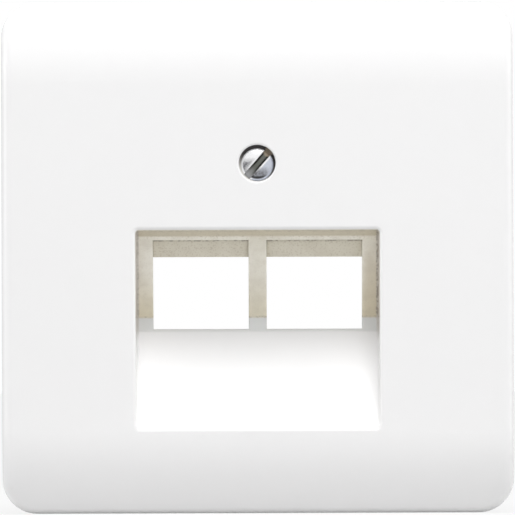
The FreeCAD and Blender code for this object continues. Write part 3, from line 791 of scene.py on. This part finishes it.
# %% Saw blade and bevel cutter
# How far the blade stands over the head, in mm, and the bevel's length as a multiple of the dome's width.
BLADE_SPARE = 1.0
BEVEL_REACH = 1.15
BEVEL_STEPS = 40


def blade():
    """A flat box that reaches over the head, cut depth SLOT_DEPTH below the dome's top."""
    work = bmesh.new()
    slot_floor = -HEAD_HEIGHT + SLOT_DEPTH
    corner_shade = [(across, along) for across in (-SLOT_WIDTH / 2, SLOT_WIDTH / 2)
               for along in (-HEAD_HEIGHT - BLADE_SPARE, slot_floor)]
    reach = head_radius_mm + BLADE_SPARE
    ends = [[work.verts.new((run, along, across)) for across, along in corner_shade] for run in (-reach, reach)]
    for end in ends:
        work.faces.new([end[i] for i in (0, 1, 3, 2)])
    for a, b in ((0, 1), (1, 3), (3, 2), (2, 0)):
        work.faces.new((ends[0][b], ends[0][a], ends[1][a], ends[1][b]))
    bmesh.ops.recalc_face_normals(work, faces=work.faces)
    return work


def bevel_cutter():
    """A shallow flared groove that follows the dome along the slot."""
    centre = dome_radius - HEAD_HEIGHT
    half = SLOT_WIDTH / 2
    section = [(half - SLOT_BURR, -2 * SLOT_BURR), (half + 2 * SLOT_BURR, SLOT_BURR),
               (-half - 2 * SLOT_BURR, SLOT_BURR), (-half + SLOT_BURR, -2 * SLOT_BURR)]
    work = bmesh.new()
    spread = math.asin(head_radius_mm / dome_radius) * BEVEL_REACH
    rings = []
    for step in range(BEVEL_STEPS + 1):
        angle = -spread + 2 * spread * step / BEVEL_STEPS
        rings.append([work.verts.new(((dome_radius + lift) * math.sin(angle),
                                      centre - (dome_radius + lift) * math.cos(angle), across))
                      for across, lift in section])
    for first, second in zip(rings, rings[1:]):
        for corner in range(len(section)):
            following = (corner + 1) % len(section)
            work.faces.new((first[corner], first[following], second[following], second[corner]))
    work.faces.new(rings[0])
    work.faces.new(list(reversed(rings[-1])))
    bmesh.ops.recalc_face_normals(work, faces=work.faces)
    return work


def cut(target, cutter_work):
    """Cut one closed shape out of another and leave a plain mesh."""
    cutter = to_object(cutter_work, "cutter")
    modifier = target.modifiers.new("cut", "BOOLEAN")
    modifier.operation = "DIFFERENCE"
    modifier.solver = "EXACT"
    modifier.object = cutter
    mesh = bpy.data.meshes.new_from_object(target.evaluated_get(bpy.context.evaluated_depsgraph_get()))
    target.modifiers.remove(modifier)
    target.data = mesh
    bpy.data.objects.remove(cutter)


cut(blank, blade())
cut(blank, bevel_cutter())
print("slotted screw,", len(blank.data.polygons), "faces")

# %% [markdown]
# ### Into its place
# The finished screw is turned to the way its slot stands, scaled to metres and moved to its place, all in
# its mesh, so that its object stays at the origin. Flat and round faces meet at sharp edges, so only edges
# under 30 degrees are shaded smooth. It rides on the screw's body and takes the plain screw's place.

# %% Screw in its place
SMOOTH_UP_TO = math.radians(30)
slot_turn = Matrix.Rotation(SLOT_ANGLE, 4, (0, -1, 0))
blank.data.transform(Matrix.Translation(screw_axis) @ Matrix.Scale(MM, 4) @ slot_turn)
paint(blank.data, steel)
blank.data.shade_smooth()
blank.data.set_sharp_from_angle(angle=SMOOTH_UP_TO)
blank.name = "slotted_screw"
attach(blank, "screw")
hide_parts("fixing_screw")
low = Vector([min(vert.co[i] for vert in blank.data.vertices) for i in range(3)])
high = Vector([max(vert.co[i] for vert in blank.data.vertices) for i in range(3)])
print("screw box in mm:", [round(v / MM, 3) for v in low], [round(v / MM, 3) for v in high])

# %% [markdown]
# ## Floor and background
# The plate stands on a pale floor with its lower edge. What the camera, glossy and clear surfaces see is
# white, and the light that the surroundings give is softer. The floor keeps a trace of the shadow.


# %% White for the camera
def seen_directly(net):
    """1 for camera, glossy and transmission rays, 0 for the rays that carry diffuse light."""
    rays = net.node("ShaderNodeLightPath").outputs
    return net.highest(rays["Is Camera Ray"], rays["Is Glossy Ray"], rays["Is Transmission Ray"])


def mix_shaders(net, factor, first, second):
    """Show the first shader where factor is 0 and the second where it is 1."""
    made = net.node("ShaderNodeMixShader", Fac=factor)
    net.feed(made.inputs[1], first)
    net.feed(made.inputs[2], second)
    return made.outputs[0]


# %% Floor
FLOOR_HALF = 1.2
FLOOR_GAP = 0.05 * MM
FLOOR_GREY, FLOOR_ROUGHNESS = (0.65, 0.65, 0.65, 1.0), 0.9
# This share of the floor looks plain white. The rest is its own shading, which carries the shadow.
FLOOR_WHITE = 0.85
floor_z = cad_low.z - FLOOR_GAP
floor_mesh = bpy.data.meshes.new("floor")
floor_mesh.from_pydata([(x * FLOOR_HALF, y * FLOOR_HALF, floor_z)
                        for x, y in ((-1, -1), (1, -1), (1, 1), (-1, 1))], [], [(0, 1, 2, 3)])
floor = bpy.data.objects.new("floor", floor_mesh)
bpy.context.scene.collection.objects.link(floor)
pale = Finish("pale_floor")
paint(floor.data, pale.set(Base_Color=FLOOR_GREY, Roughness=FLOOR_ROUGHNESS))
glow = pale.node("ShaderNodeEmission", Strength=1.0).outputs[0]
shown = mix_shaders(pale, pale.math("MULTIPLY", seen_directly(pale), FLOOR_WHITE),
                    pale.shader.outputs[0], glow)
pale.feed(pale.tree.nodes["Material Output"].inputs["Surface"], shown)
print("floor at height", round(floor_z / MM, 2), "mm")

# %% World
SKY_TINT, SKY_STRENGTH = (0.98, 0.99, 1.0, 1.0), 0.42
WHITE = (1.0, 1.0, 1.0, 1.0)
world = bpy.data.worlds.new("studio")
bpy.context.scene.world = world
world.use_nodes = True
world.node_tree.nodes.clear()
sky = Masks(world.node_tree)
soft = sky.node("ShaderNodeBackground", Color=SKY_TINT, Strength=SKY_STRENGTH).outputs[0]
white = sky.node("ShaderNodeBackground", Color=WHITE, Strength=1.0).outputs[0]
sky.node("ShaderNodeOutputWorld", Surface=mix_shaders(sky, seen_directly(sky), soft, white))
print("world with", len(world.node_tree.nodes), "nodes")

# %% [markdown]
# ## Light
# A small soft lamp stands above and a little in front. It makes the upper crown brighter and the lower
# crown darker than the flat front, and leaves the wall under the lip in shade. A lamp on each side lifts
# the rounded side edges. A wide weak lamp in front, a little to the right, fills the recess. The polished
# screw head would mirror it as a glare, so it is hidden from mirrored rays.

# %% Lamps
# name: place in metres, side in metres, power in watts, and whether bright metal mirrors it
LAMPS = {
    "key": ((0.03, -0.25, 0.55), 0.24, 2.48, True),
    "left_side": ((-0.95, -0.12, 0.1), 0.5, 3.2, True),
    "right_side": ((0.95, -0.12, 0.1), 0.5, 2.2, True),
    "front_right": ((0.3, -0.8, 0.2), 0.8, 1.6, False),
}
for name, (place, size, power, mirrored) in LAMPS.items():
    lamp = bpy.data.lights.new(name, "AREA")
    lamp.size = size
    lamp.energy = power
    holder = bpy.data.objects.new(name, lamp)
    holder.location = place
    holder.rotation_euler = (-Vector(place)).to_track_quat("-Z", "Y").to_euler()
    holder.visible_glossy = mirrored
    bpy.context.scene.collection.objects.link(holder)
print(len(LAMPS), "lamps")

# %% [markdown]
# ## Camera
# A long lens far away, level with the middle of the plate, shows the recess with hardly any perspective.
# The lens follows from the distance and from how wide a field has to fit the picture.

# %% Camera
CAMERA_DISTANCE = 1.35
FIELD_WIDTH = 71.37 * MM
CAMERA_HEIGHT = 0.02 * MM
CAMERA_ROLL = math.radians(0.2)
SENSOR_WIDTH = 36.0
camera_data = bpy.data.cameras.new("camera")
camera = bpy.data.objects.new("camera", camera_data)
bpy.context.scene.collection.objects.link(camera)
bpy.context.scene.camera = camera
camera_data.sensor_width = SENSOR_WIDTH
camera_data.lens = SENSOR_WIDTH * CAMERA_DISTANCE / FIELD_WIDTH
camera_data.clip_start = 0.05
camera_data.clip_end = 20.0
camera.location = (0.0, front_y - CAMERA_DISTANCE, CAMERA_HEIGHT)
camera.rotation_euler = (math.radians(90), CAMERA_ROLL, 0)
bpy.context.scene.view_settings.view_transform = "Standard"
print("lens", round(camera_data.lens), "mm")
